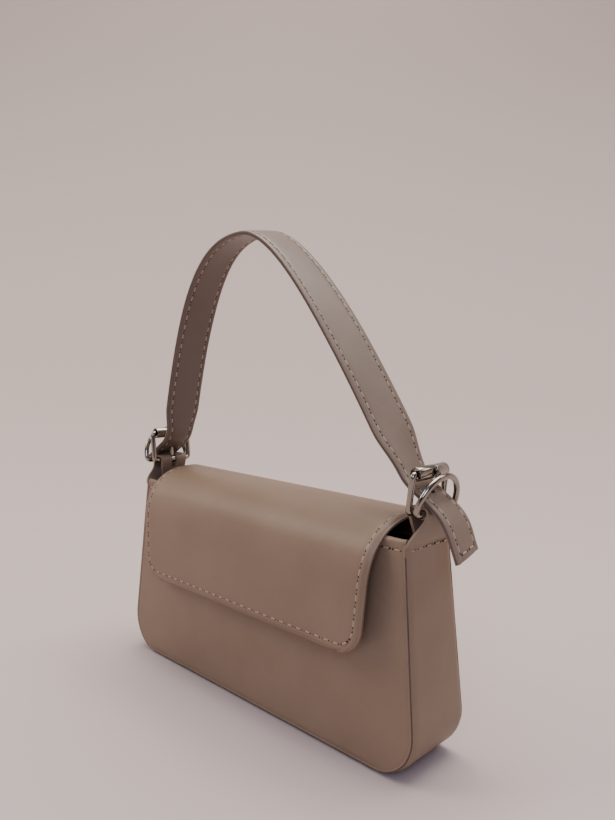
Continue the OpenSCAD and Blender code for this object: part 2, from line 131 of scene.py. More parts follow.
def box_calf(name, dark, light, roughness, coat):
    """Drum-dyed box calf, plated smooth: cloudy dye, a faint pebble and pores, a soft wax sheen."""
    material, shader = start(name, light, roughness, Coat_Weight=coat, Coat_Roughness=0.32,
                             Specular_IOR_Level=0.38)
    link = material.node_tree.links.new
    place = add(material, "TexCoord").outputs["Object"]
    cloud = add(material, "TexNoise", values={"Scale": per(42), "Detail": 3.0, "Roughness": 0.5},
                links={"Vector": place})
    mottle = add(material, "TexNoise", values={"Scale": per(2.6), "Detail": 4.0, "Roughness": 0.6},
                 links={"Vector": place})
    both = add(material, "Math", {"operation": "MULTIPLY_ADD"}, {1: 0.28},
               {0: mottle.outputs["Fac"], 2: cloud.outputs["Fac"]})
    shade = add(material, "ValToRGB", links={"Fac": both.outputs[0]})
    shade.color_ramp.elements[0].position, shade.color_ramp.elements[1].position = 0.4, 0.9
    shade.color_ramp.elements[0].color = hex_colour(dark)
    shade.color_ramp.elements[1].color = hex_colour(light)
    link(shade.outputs["Color"], shader.inputs["Base Color"])
    # The pebble is about 0.5 mm on the real hide, drawn at 1.1 mm so that it shows.
    pebble = add(material, "TexVoronoi", {"feature": "SMOOTH_F1"},
                 {"Scale": per(1.1), "Smoothness": 0.6, "Randomness": 1.0}, {"Vector": place})
    pull = add(material, "TexNoise", values={"Scale": per(17), "Detail": 2.0},
               links={"Vector": place})
    low = add(material, "Bump", values={"Strength": 0.35, "Distance": 0.0011},
              links={"Height": pull.outputs["Fac"]})
    fine = add(material, "Bump", values={"Strength": 0.13, "Distance": 0.0002},
               links={"Height": pebble.outputs["Distance"], "Normal": low.outputs["Normal"]})
    finest = add(material, "Bump", values={"Strength": 0.1, "Distance": 0.0002},
                 links={"Height": mottle.outputs["Fac"], "Normal": fine.outputs["Normal"]})
    link(finest.outputs["Normal"], shader.inputs["Normal"])
    rub = add(material, "MapRange", values={"To Min": roughness - 0.06, "To Max": roughness + 0.07},
              links={"Value": mottle.outputs["Fac"]})
    link(rub.outputs["Result"], shader.inputs["Roughness"])
    return material


def woven(name, dark, light, pitch):
    """Plain-woven cloth: two crossed sets of threads, drawn at the pitch given in millimetres."""
    material, shader = start(name, dark, 0.85)
    link = material.node_tree.links.new
    place = add(material, "TexCoord").outputs["Object"]
    threads = []
    for direction in ("X", "Z"):
        threads.append(add(material, "TexWave", {"bands_direction": direction},
                           {"Scale": per(pitch) / 20 * math.pi, "Distortion": 0.6, "Detail": 1.0,
                            "Detail Scale": 3.0}, {"Vector": place}).outputs["Fac"])
    weave = add(material, "Math", {"operation": "MAXIMUM"}, links={0: threads[0], 1: threads[1]})
    shade = add(material, "ValToRGB", links={"Fac": weave.outputs[0]})
    shade.color_ramp.elements[0].color = hex_colour(dark)
    shade.color_ramp.elements[1].color = hex_colour(light)
    link(shade.outputs["Color"], shader.inputs["Base Color"])
    relief = add(material, "Bump", values={"Strength": 0.5, "Distance": 0.0002},
                 links={"Height": weave.outputs[0]})
    link(relief.outputs["Normal"], shader.inputs["Normal"])
    return material


def nickel_plate():
    """Bright nickel plate on buffed brass wire: a clear mirror with faint polishing haze."""
    material, shader = start("nickel_plate_polished", "948d85", 0.1, Metallic=1.0)
    place = add(material, "TexCoord").outputs["Object"]
    haze = add(material, "TexNoise", values={"Scale": per(5), "Detail": 5.0},
               links={"Vector": place})
    level = add(material, "MapRange", values={"To Min": 0.06, "To Max": 0.17},
                links={"Value": haze.outputs["Fac"]})
    material.node_tree.links.new(level.outputs["Result"], shader.inputs["Roughness"])
    relief = add(material, "Bump", values={"Strength": 0.05, "Distance": 0.0002},
                 links={"Height": haze.outputs["Fac"]})
    material.node_tree.links.new(relief.outputs["Normal"], shader.inputs["Normal"])
    return material


def spun_thread():
    """Bonded polyester thread: a round, slightly glossy strand a shade lighter than the leather."""
    material, shader = start("polyester_thread_bonded", "a38e79", 0.5, Sheen_Weight=0.2)
    place = add(material, "TexCoord").outputs["Object"]
    ply = add(material, "TexWave", {"bands_direction": "DIAGONAL"},
              {"Scale": per(0.9) / 20 * math.pi}, {"Vector": place})
    relief = add(material, "Bump", values={"Strength": 0.4, "Distance": 0.0002},
                 links={"Height": ply.outputs["Fac"]})
    material.node_tree.links.new(relief.outputs["Normal"], shader.inputs["Normal"])
    return material


def mottled(name, dark, light, roughness, grain):
    """A matt surface whose colour and relief vary at the grain size given in millimetres."""
    material, shader = start(name, dark, roughness)
    place = add(material, "TexCoord").outputs["Object"]
    fleck = add(material, "TexNoise", values={"Scale": per(grain), "Detail": 6.0},
                links={"Vector": place})
    shade = add(material, "ValToRGB", links={"Fac": fleck.outputs["Fac"]})
    shade.color_ramp.elements[0].color = hex_colour(dark)
    shade.color_ramp.elements[1].color = hex_colour(light)
    material.node_tree.links.new(shade.outputs["Color"], shader.inputs["Base Color"])
    relief = add(material, "Bump", values={"Strength": 0.3, "Distance": 0.0002},
                 links={"Height": fleck.outputs["Fac"]})
    material.node_tree.links.new(relief.outputs["Normal"], shader.inputs["Normal"])
    return material


calf = box_calf("box_calf_plated_taupe", "7b6653", "86705d", 0.46, 0.1)
strap_calf = box_calf("box_calf_waxed_strap", "726154", "7c6b5f", 0.43, 0.06)
# The strap's inner ply: the same calf made darker, partly a darker tone of its own and partly
# painted shade for the underside that faces down into shadow.
shaded_under_calf = box_calf("box_calf_strap_underside_painted_shade", "5c4c43", "66554d", 0.42, 0.12)
pigskin = box_calf("pigskin_lining_matt", "5f4d40", "69574a", 0.6, 0.0)
twill = woven("rayon_lining_black", "0b0b0d", "1b1b1e", 1.2)
nickel = nickel_plate()
thread = spun_thread()
needle_hole_shade = mottled("needle_hole_shadow", "140d09", "1d140f", 0.9, 1.0)
# Dark edge paint for the strap's core; the same material also paints the shade in the corner seams.
edge_paint_and_seam_shade = mottled("painted_edges_and_seam_shade_dark_brown", "3b2c24", "54433a", 0.45, 3.0)
fibre_board = mottled("pressed_fibre_board", "8a7559", "a8957a", 0.9, 2.0)


# Shaping

def patch(columns, rows, place):
    """A grid of quads laid over place(column, row), both counted from 0, in millimetres."""
    bm = bmesh.new()
    bmesh.ops.create_grid(bm, x_segments=columns, y_segments=rows, size=1)
    for v in bm.verts:
        v.co = place(round((v.co.x + 1) / 2 * columns), round((v.co.y + 1) / 2 * rows))
    return bm


def welded(bm):
    bmesh.ops.remove_doubles(bm, verts=bm.verts, dist=1e-4)
    bmesh.ops.dissolve_degenerate(bm, edges=bm.edges, dist=1e-5)
    bmesh.ops.recalc_face_normals(bm, faces=bm.faces)
    return bm


def facing(bm, point, away=True):
    """Turns an open sheet so that its faces look away from a point, or towards it."""
    bm.normal_update()
    out = sum((f.calc_center_median() - Vector(point)).dot(f.normal) * f.calc_area()
              for f in bm.faces)
    if (out > 0) != away:
        bmesh.ops.reverse_faces(bm, faces=bm.faces)
    return bm


def piece(name, bm, material, body=None, instead_of=(), wall=0.0, edge=0.0):
    """Makes an object of a mesh in millimetres, gives it a wall and soft edges, and seats it."""
    bmesh.ops.scale(bm, vec=(MM, MM, MM), verts=bm.verts)
    for f in bm.faces:
        f.smooth = True
    for e in bm.edges:
        e.smooth = e.calc_face_angle(0) < CREASE
    mesh = bpy.data.meshes.new(name)
    bm.to_mesh(mesh)
    bm.free()
    mesh.materials.append(material)
    obj = bpy.data.objects.new(name, mesh)
    bpy.context.scene.collection.objects.link(obj)
    if wall:
        thicken = obj.modifiers.new("wall", "SOLIDIFY")
        thicken.thickness, thicken.offset = wall * MM, -1
    if edge:
        soften = obj.modifiers.new("edge", "BEVEL")
        soften.width, soften.segments, soften.profile = edge * MM, 2, 0.5
        soften.limit_method, soften.angle_limit = "ANGLE", math.radians(50)
    if instead_of:
        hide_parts(*instead_of)
    if body:
        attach(obj, body)
    return obj


def settle(obj):
    """Applies an object's modifiers."""
    graph = bpy.context.evaluated_depsgraph_get()
    mesh = bpy.data.meshes.new_from_object(obj.evaluated_get(graph), depsgraph=graph)
    obj.modifiers.clear()
    obj.data = mesh
    return obj


def bump_at(distance, reach):
    """1 at a line, falling smoothly to 0 at reach from it."""
    t = max(0.0, 1 - abs(distance) / reach)
    return t * t * (3 - 2 * t)


def spread(a, b, count):
    return [a + (b - a) * i / (count - 1) for i in range(count)]


def mix_points(table, key):
    """Straight interpolation in a short table of (key, value)."""
    for (a, va), (b, vb) in zip(table, table[1:]):
        if key <= b:
            return va + (vb - va) * max(0.0, key - a) / (b - a)
    return table[-1][1]


def eased(table, key):
    """Like mix_points, without a kink at the table's keys."""
    for (a, va), (b, vb) in zip(table, table[1:]):
        if key <= b:
            t = max(0.0, key - a) / (b - a)
            return va + (vb - va) * t * t * (3 - 2 * t)
    return table[-1][1]


class Route:
    """A flat path as (a, b) points, read by the length along it."""

    def __init__(self, points):
        self.points = [Vector(p) for p in points]
        self.marks = [0.0]
        for p, q in zip(self.points, self.points[1:]):
            self.marks.append(self.marks[-1] + (q - p).length)
        self.length = self.marks[-1]

    def at(self, s):
        s = min(max(s, 0.0), self.length)
        i = max(1, bisect_left(self.marks, s))
        t = (s - self.marks[i - 1]) / max(self.marks[i] - self.marks[i - 1], 1e-9)
        return self.points[i - 1].lerp(self.points[i], t)

    def heading(self, s):
        return (self.at(s + 1.2) - self.at(s - 1.2)).normalized()


def round_to(centre, radius, a1, a2, steps):
    """Points of an arc between two angles in degrees."""
    return [centre + radius * Vector((math.cos(math.radians(a)), math.sin(math.radians(a))))
            for a in spread(a1, a2, steps + 1)]


# The bag's outline

def half_width(z, out=0.0):
    """Half width of the outline at a height above the bottom seam."""
    if z >= CORNER_R + (CORNER_R + out) * math.sin(LEAN):
        return BOTTOM_W / 2 + (out - z * math.sin(LEAN)) / math.cos(LEAN)
    return CORNER_X + math.sqrt(max((CORNER_R + out) ** 2 - (CORNER_R - z) ** 2, 0.0))


def half_depth(z):
    return (BOTTOM_DEPTH - (BOTTOM_DEPTH - TOP_DEPTH) * z / PANEL_H) / 2


ACROSS = [math.sin(math.pi / 2 * t) for t in spread(-1, 1, 61)]
FOLD_R = HEM_T / 2
WALL_ROWS = (
    [(CORNER_R * (1 - math.cos(math.radians(a))), 0.0) for a in range(0, 85, 6)]
    + [(z, 0.0) for z in spread(23, 109.6, 26)]
    + [(z, 0.0) for z in (110.4, 111.1, 111.6, 112.1, 112.8, 114.2)]
    + [(PANEL_H - FOLD_R + FOLD_R * math.sin(math.radians(a)),
        FOLD_R - FOLD_R * math.cos(math.radians(a))) for a in range(0, 181, 15)]
    + [(z, HEM_T) for z in (113.4, 111.4, 109.2)])


def wall_point(side, across, z, depth):
    """A place on the front (side -1) or back (side 1) wall, with its turned edge and its crown."""
    half = half_width(z)
    from_edge = half * (1 - abs(across))
    turned = 0.75 * max(bump_at(from_edge, 2.4), bump_at(z, 2.4))
    crown = 0.9 * (1 - across ** 4) * math.sin(math.pi * min(z / PANEL_H, 1)) ** 0.8
    slack = (0.22 * math.sin(z / 15 + across * 2.2) * math.sin(across * 5.1 + z / 40)
             * (1 - across ** 2))
    groove = 0.35 * bump_at(z - HEM_STITCH_Z, 1.6) if depth < FOLD_R else 0.0
    inward = depth + turned + groove - (crown + slack if depth < FOLD_R else 0.0)
    return Vector((across * half, side * (half_depth(z) - inward), z + SEAM_Z))


def make_wall(name, side, node):
    def place(column, row):
        z, depth = WALL_ROWS[row]
        return wall_point(side, ACROSS[column], z, depth)
    bm = facing(patch(len(ACROSS) - 1, len(WALL_ROWS) - 1, place), (0, 0, 60))
    piece(name, bm, calf, "bag", [node], wall=LEATHER, edge=0.35)


# The gusset and its two tabs in one strip of leather, from one tab's foot to the other's

INNER_HALF = [(113, 6.5), (120, 8.5), (126, 10.0), (140, 10.0)]


def gusset_path():
    """Outer face of the strip from the middle of the bottom to the right-hand tab's foot, with
    half its width, as (x, z, half width) above the bottom seam."""
    out = CORNER_R + LEATHER
    rows = [(x, -LEATHER, half_depth(0)) for x in spread(0, CORNER_X, 10)]
    for p in round_to(Vector((CORNER_X, CORNER_R)), out, -90, math.degrees(LEAN), 14)[1:]:
        rows.append((p.x, p.y, half_depth(p.y)))
    rows += [(half_width(z, LEATHER), z, half_depth(z)) for z in spread(28, GUSSET_TOP, 22)]
    ring, heel = RING_BAR - Vector((0, SEAM_Z)), HEEL - Vector((0, SEAM_Z))
    foot = Vector((half_width(GUSSET_TOP, LEATHER), GUSSET_TOP))
    over = round_to(ring, LOOP_R, -8, 90, 8) + round_to(heel, LOOP_R, 90, 188, 8)
    rise = [foot.lerp(over[0], t) for t in spread(0, 1, 11)[1:-1]]
    low = Vector((TAB_X - 2.8, GUSSET_TOP))
    for p in rise + over + [over[-1].lerp(low, t) for t in (0.33, 0.66, 1)]:
        rows.append((p.x, p.y, None))
    tab_half = [(113, 18.9), (115.5, 18.3), (118.4, 16.6), (120.6, 14.1), (122.8, 11.6),
                (125, 10.2), (TAB_CREST_Z, 9.9), (140, 10.0)]
    done, passed_top = [], False
    for x, z, half in rows:
        passed_top = passed_top or z > TAB_CREST_Z
        if half is None:
            half = mix_points(INNER_HALF, z) if passed_top else mix_points(tab_half, z)
        done.append((x, z, half))
    return done


GUSSET = gusset_path()
SLIT_U = SLIT_HALF / 10
GUSSET_U = sorted([0.0] + [s * u for s in (-1, 1) for u in
                           (SLIT_U, 0.34, 0.48, 0.62, 0.74, 0.84, 0.9, 0.94, 0.97, 0.99, 1.0)])


def gusset_dip(x, y, z, half):
    """How far the leather lies inside its flat outline: turned edges, a dent, slight puckers."""
    u = y / half
    depth, reach = (1.15, 3.2) if z < GUSSET_TOP + 2 else (0.5, 1.6)
    edge = depth * bump_at(half - abs(y), reach)
    dent = 1.3 * math.exp(-((z - 102) / 9) ** 2) * (1 - u * u) if x > CORNER_X + 5 else 0.0
    pucker = 0.22 * math.sin(z / 6.5) * math.sin(y / 7) if 40 < z < GUSSET_TOP else 0.0
    return edge + dent + pucker


def gusset_point(u, row):
    x, z, half = GUSSET[abs(row)]
    y = half * u
    pinch = gusset_dip(x, y, z, half)
    if x <= CORNER_X:
        spot = Vector((x, y, z + pinch + SEAM_Z))
    elif z < CORNER_R:
        middle = Vector((CORNER_X, CORNER_R))
        p = middle + (Vector((x, z)) - middle) * (1 - pinch / (CORNER_R + LEATHER))
        spot = Vector((p.x, y, p.y + SEAM_Z))
    else:
        spot = Vector((x - (pinch if z < GUSSET_TOP + 1 else 0.0), y, z + SEAM_Z))
    if row < 0:
        spot.x = -spot.x
    return spot


def make_gusset():
    last = len(GUSSET) - 1
    bm = patch(len(GUSSET_U) - 1, 2 * last, lambda c, r: gusset_point(GUSSET_U[c], r - last))
    slit = []
    for f in bm.faces:
        c = f.calc_center_median()
        if abs(c.y) < SLIT_HALF and abs(c.x) < HEEL.x + 2.8 and abs(c.x) > HEEL.x - 8 \
                and c.z > HEEL.y - 4.4:
            slit.append(f)
    bmesh.ops.delete(bm, geom=slit, context="FACES")
    facing(bm, (0, 0, 60))
    gusset = piece("gusset_and_tabs", bm, calf, None,
                   ["gusset", "left_tab", "right_tab", "left_tab_lining", "right_tab_lining"],
                   wall=LEATHER + 0.25, edge=0.3)
    settle(gusset)
    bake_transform(gusset)


# The lining, one black sack inside

def make_lining():
    rim = [(t, -1.0) for t in spread(-1, 1, 25)] + [(1.0, t) for t in spread(-0.7, 0.7, 5)] \
        + [(t, 1.0) for t in spread(1, -1, 25)] + [(-1.0, t) for t in spread(0.7, -0.7, 5)]
    rim.append(rim[0])
    heights = [1.7] + [1.7 + CORNER_R * (1 - math.cos(math.radians(a))) for a in range(0, 85, 8)] \
        + spread(26, 109.8, 16)

    def place(column, row):
        u, v = rim[column]
        z = heights[row]
        sag = 0.5 * math.sin(z / 9 + u * 4) * (1 - u * u) * min(z / 30, 1)
        x = u * half_width(z, -1.65)
        y = v * (half_depth(z) - 2.9) - (math.copysign(sag, v) if abs(v) == 1 else 0.0)
        return Vector((x, 0.0 if row == 0 else y, z + SEAM_Z))
    bm = welded(patch(len(rim) - 1, len(heights) - 1, place))
    facing(bm, (0, 0, 60), away=False)
    piece("lining_sack", bm, twill, "bag",
          ["front_lining", "back_lining", "gusset_lining"], wall=0.4)


# The flap, seen from the side as (y, z) of its outer face

def flap_route():
    front = -half_depth(SHOULDER_Z - SEAM_Z) - FLAP_GAP - FLAP_T
    end = -half_depth(FLAP_END_Z - SEAM_Z) - FLAP_GAP - FLAP_T
    crown_y = HINGE_Y - 16
    strip = [(half_depth(z) + LEATHER + 0.05, z + SEAM_Z) for z in spread(100, PANEL_H, 7)]
    back = [(crown_y + 6 + 10 * math.cos(a),
             HINGE_Z + 0.6 + (RIDGE_Z - HINGE_Z - 0.6) * math.sin(a))
            for a in [math.radians(d) for d in range(0, 91, 9)]]
    over = [(crown_y - (crown_y - front) * math.sin(a) ** FULLNESS,
             SHOULDER_Z + (RIDGE_Z - SHOULDER_Z) * max(math.cos(a), 0.0) ** FULLNESS)
            for a in [math.radians(d) for d in range(0, 91, 5)]]
    return Route(strip + back + over + [(end, FLAP_END_Z)])


FLAP = flap_route()
STRIP_L = FLAP.marks[6]


def flap_half(to_end, inset=0.0):
    r = FLAP_R - inset
    to_end -= inset
    if to_end < r:
        return FLAP_END_W - FLAP_R + math.sqrt(max(r * r - (r - to_end) ** 2, 0.0))
    return FLAP_END_W - inset + (FLAP_W - FLAP_END_W) * min(1.0, (to_end - r) / 62)


def flap_point(u, s, out=0.0, inset=0.0):
    """A place on the flap: across it, along its route, and off its outer face."""
    to_end = FLAP.length - s
    half = flap_half(to_end, inset)
    p, h = FLAP.at(s), FLAP.heading(s)
    normal = Vector((h.y, -h.x))
    reach = 2.6
    turned = 1.3 * max(bump_at(half * (1 - abs(u)), reach), bump_at(to_end - inset, reach))
    groove = 0.35 * max(bump_at(half * (1 - abs(u)) - FLAP_STITCH, 1.2),
                        bump_at(to_end - FLAP_STITCH, 1.2))
    if s < STRIP_L + 12:
        turned, groove = min(turned, 0.6), 0.0
    slack = 0.3 * math.sin(u * 3.3 + s / 31) * math.sin(s / 24) * (1 - u * u)
    if s <= STRIP_L + 20:
        slack = 0.0
    lift = out - (turned + groove if out == 0 else 0.0) + slack
    return Vector((u * half, p.x + normal.x * lift, p.y + normal.y * lift))


def flap_rows(start, inset=0.0):
    far_end = FLAP.length - inset
    near = [far_end - (FLAP_R - inset) * (1 - math.cos(math.radians(a)))
            for a in range(84, -1, -6)]
    return spread(start, near[0] - 3, 44) + near


def make_flap():
    side_u = [math.sin(math.pi / 2 * t) for t in spread(-1, 1, 71)]
    rows = flap_rows(0.0)
    outer = patch(len(side_u) - 1, len(rows) - 1, lambda c, r: flap_point(side_u[c], rows[r]))
    facing(outer, (0, -5, 90))
    skin = piece("flap_skin", outer, calf, None, ["flap_outer", "flap_strip"],
                 wall=LEATHER, edge=0.4)
    settle(skin)
    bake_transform(skin)
    rows_in = flap_rows(STRIP_L + 1.2, 0.5)
    under = patch(len(side_u) - 1, len(rows_in) - 1,
                  lambda c, r: flap_point(side_u[c], rows_in[r], -FLAP_T, 0.5))
    facing(under, (0, -5, 90), away=False)
    piece("flap_underside", under, pigskin, "flap", ["flap_lining"],
          wall=0.6, edge=0.2)


# The strap, seen from the front as (x, z) of its middle; angles are in radians here

def downward(a):
    return Vector((math.sin(a), -math.cos(a)))


def toward(a):
    return Vector((math.cos(a), math.sin(a)))


ROLLER_REACH = ROLLER_R + ROLLER_GAP + STRAP_T / 2
TAB_REACH = LOOP_R + 0.35 + STRAP_T / 2
WAY = RING_BAR - ROLLER
PASS_A = math.atan2(WAY.y, WAY.x) + math.acos(-(ROLLER_REACH + TAB_REACH) / WAY.length)
FOOT = ROLLER - ROLLER_REACH * toward(PASS_A)
KNEE = RING_BAR + TAB_REACH * toward(PASS_A)
TOP_Z = ROLLER.y + STRAP_RISE


def bezier(p, q, r, s, steps):
    return [p * (1 - t) ** 3 + q * 3 * t * (1 - t) ** 2 + r * 3 * t * t * (1 - t) + s * t ** 3
            for t in spread(0, 1, steps + 1)[:-1]]


def half_strap(shift, lean, top_reach, leg_reach, tail):
    bend, pass_deg = 18.0, math.degrees(PASS_A)
    middle = FOOT + bend * toward(PASS_A)
    leg = middle - bend * toward(math.radians(lean))
    top = Vector((shift, TOP_Z))
    arch = bezier(top, top + Vector((top_reach * STRAP_RISE, 0)),
                  leg - leg_reach * STRAP_RISE * downward(math.radians(lean)), leg, 40)
    return arch + round_to(middle, bend, 180 + lean, 180 + pass_deg, 10) + tail


TAIL_STRAIGHT, TAIL_R, TAIL_TURN, TAIL_END = 2.7, 26.0, 34, 10.7


def right_tail():
    start_at = KNEE + TAIL_STRAIGHT * downward(PASS_A)
    pass_deg = math.degrees(PASS_A)
    bend = round_to(start_at - TAIL_R * toward(PASS_A), TAIL_R, pass_deg, pass_deg - TAIL_TURN,
                    14)
    return [KNEE] + bend + [bend[-1] + TAIL_END * downward(PASS_A - math.radians(TAIL_TURN))]


def strap_route():
    left = half_strap(STRAP_SHIFT, 11, 0.286, 0.81, [KNEE, KNEE + 5 * downward(PASS_A)])
    right = half_strap(-STRAP_SHIFT, 36, 0.318, 0.105, right_tail())
    return Route([Vector((-p.x, p.y)) for p in reversed(left)] + right[1:])


STRAP = strap_route()
TAIL_L = TAIL_STRAIGHT + TAIL_R * math.radians(TAIL_TURN) + TAIL_END
HOLE_1 = FOOT.lerp(KNEE, 0.34)


def strap_half(z):
    rise = min(max((z - ROLLER.y - 1) / 18, 0), 1)
    return STRAP_END_HALF + (STRAP_HALF - STRAP_END_HALF) * rise * rise * (3 - 2 * rise)


# Degrees by which the strap is turned about its own length, at shares of that length
TWIST = [(0.0, 0.0), (0.26, 0.0), (0.41, 7.0), (0.5, 6.8), (0.7, 13.0), (0.81, 13.2),
         (0.9, 0.0), (1.0, 0.0)]


def strap_point(u, s, off):
    """A place on the strap: across it, along its route, and off its middle."""
    p, h = STRAP.at(s), STRAP.heading(s)
    lean = math.radians(eased(TWIST, s / STRAP.length))
    normal = Vector((-h.y, h.x))
    half = strap_half(p.y)
    from_edge = half * (1 - abs(u))
    crown = 0.22 * (1 - min(1.0, abs(u) / 0.8) ** 2)
    shaped = crown - 0.4 * bump_at(from_edge, 1.3) - 0.3 * bump_at(from_edge - STRAP_STITCH, 1.2)
    lift = off + (shaped if off > 0 else -shaped if off < 0 else 0.0)
    near_end = max(0.0, min(1.0, 1 - (STRAP.length - s) / (TAIL_L - 5)))
    twist = near_end * near_end * (3 - 2 * near_end)
    out = lift * math.cos(lean) + half * u * math.sin(lean)
    return Vector((p.x + normal.x * out - TAIL_SKEW_X * u * twist,
                   half * u * math.cos(lean) - lift * math.sin(lean),
                   p.y + normal.y * out + TAIL_SKEW_Z * u * twist))


def punch(obj, material):
    """Cuts the slotted holes for both prongs through an object."""
    drill = bmesh.new()
    for sign in (-1, 1):
        turn = Matrix.Rotation(math.pi / 2 - PASS_A, 4, "Y")
        for shift in (0, 0.8, 1.6):
            at = Matrix.Translation((HOLE_1.x, 0, HOLE_1.y)) @ turn \
                @ Matrix.Translation((shift, 0, 0))
            if sign < 0:
                at = Matrix.Scale(-1, 4, (1, 0, 0)) @ at
            bmesh.ops.create_cone(drill, cap_ends=True, segments=24, radius1=STRAP_HOLE_R,
                                  radius2=STRAP_HOLE_R, depth=12, matrix=at)
    bmesh.ops.recalc_face_normals(drill, faces=drill.faces)
    cutter = piece("punch", drill, material)
    cut = obj.modifiers.new("holes", "BOOLEAN")
    cut.object, cut.solver, cut.use_self = cutter, "EXACT", True
    settle(obj)
    bpy.data.objects.remove(cutter)


def make_strap():
    across = [math.sin(math.pi / 2 * t) for t in spread(-1, 1, 33)]
    stops = spread(0, STRAP.length, 190)
    for name, off, node, away, material in (
            ("strap_outer_ply", STRAP_T / 2, "strap_outer", True, strap_calf),
            ("strap_inner_ply", -STRAP_T / 2, "strap_inner", False, shaded_under_calf)):
        bm = patch(len(across) - 1, len(stops) - 1,
                   lambda c, r: strap_point(across[c], stops[r], off))
        facing(bm, (0, 0, 150), away=away)
        ply = piece(name, bm, material, None, [node], wall=LEATHER, edge=0.25)
        punch(ply, material)
        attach(ply, "handle")
    core = patch(16, len(stops) - 1, lambda c, r: core_point(c, stops[r]))
    welded(core)
    bmesh.ops.holes_fill(core, edges=core.edges)
    bmesh.ops.recalc_face_normals(core, faces=core.faces)
    tape = piece("strap_core_edge", core, edge_paint_and_seam_shade, None, ["strap_tape"])
    punch(tape, edge_paint_and_seam_shade)
    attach(tape, "handle")


def core_point(column, s):
    """The dark painted core between the two plies, a hair wider than they are."""
    u = [-1, -0.97, -0.5, 0, 0.5, 0.97, 1, 1, 1, 0.97, 0.5, 0, -0.5, -0.97, -1, -1, -1][column]
    off = [1, 1, 1, 1, 1, 1, 1, 0, -1, -1, -1, -1, -1, -1, -1, 0, 1][column] * 0.27
    p = strap_point(u * 1.012, s, 0)
    h = STRAP.heading(s)
    return p + Vector((-h.y * off, 0, h.x * off))


# Thread

def ball(around, rings):
    """Points and faces of a unit ball, as lists that can be repeated."""
    bm = bmesh.new()
    bmesh.ops.create_uvsphere(bm, u_segments=around, v_segments=rings, radius=1)
    parts = [v.co.copy() for v in bm.verts], [[v.index for v in f.verts] for f in bm.faces]
    bm.free()
    return parts


BALL = ball(8, 5)


def balls(places):
    """One mesh of balls, each stretched and turned by a matrix."""
    points, faces = [], []
    for place in places:
        faces += [[len(points) + i for i in f] for f in BALL[1]]
        points += [place @ p for p in BALL[0]]
    mesh = bpy.data.meshes.new("balls")
    mesh.from_pydata(points, [], faces)
    bm = bmesh.new()
    bm.from_mesh(mesh)
    bpy.data.meshes.remove(mesh)
    return bm


def sew(name, runs, body, pitch=STITCH_PITCH, thick=0.45, share=0.64):
    """One mesh of stitches along each run of (place, outward direction), and one of dark discs of
    painted shade in their needle holes.
    """
    stitches, holes = [], []
    for run in runs:
        marks = [0.0]
        for (p, _), (q, _) in zip(run, run[1:]):
            marks.append(marks[-1] + (q - p).length)
        step = marks[-1] / max(1, round(marks[-1] / pitch))

        def on_run(s):
            i = min(max(1, bisect_left(marks, s)), len(marks) - 1)
            t = (s - marks[i - 1]) / max(marks[i] - marks[i - 1], 1e-9)
            return run[i - 1][0].lerp(run[i][0], t), run[i - 1][1].lerp(run[i][1], t).normalized()
        for k in range(round(marks[-1] / step)):
            middle = (k + 0.5) * step
            a, b = on_run(middle - step * share / 2)[0], on_run(middle + step * share / 2)[0]
            spot, up = on_run(middle)
            forward = (b - a).normalized()
            side = up.cross(forward).normalized()
            up = forward.cross(side)
            turn = Matrix((forward, side, up)).transposed().to_4x4()
            size = Matrix.Diagonal(((b - a).length / 2, thick, thick * 0.75, 1))
            seat = spot + up * 0.05 + side * (0.12 * thick)
            stitches.append(Matrix.Translation(seat) @ turn @ size)
            # Painted shade: a flat dark disc at each end of a stitch stands for the shadow in its
            # needle hole.
            hole = turn @ Matrix.Diagonal((1.9 * thick, 1.3 * thick, 0.2, 1))
            holes += [Matrix.Translation(end) @ hole for end in (a, b)]
    piece(name, balls(stitches), thread, body)
    piece(name + "_hole_shade", balls(holes), needle_hole_shade, body)


def strap_runs(off, sign, first, last):
    runs = []
    for side in (-1, 1):
        run = []
        for s in spread(first, last, 160):
            half = strap_half(STRAP.at(s).y)
            u = side * (1 - STRAP_STITCH / half)
            h = STRAP.heading(s)
            up = Vector((-h.y, 0, h.x)) * sign
            run.append((strap_point(u, s, off), up))
        runs.append(run)
    return runs


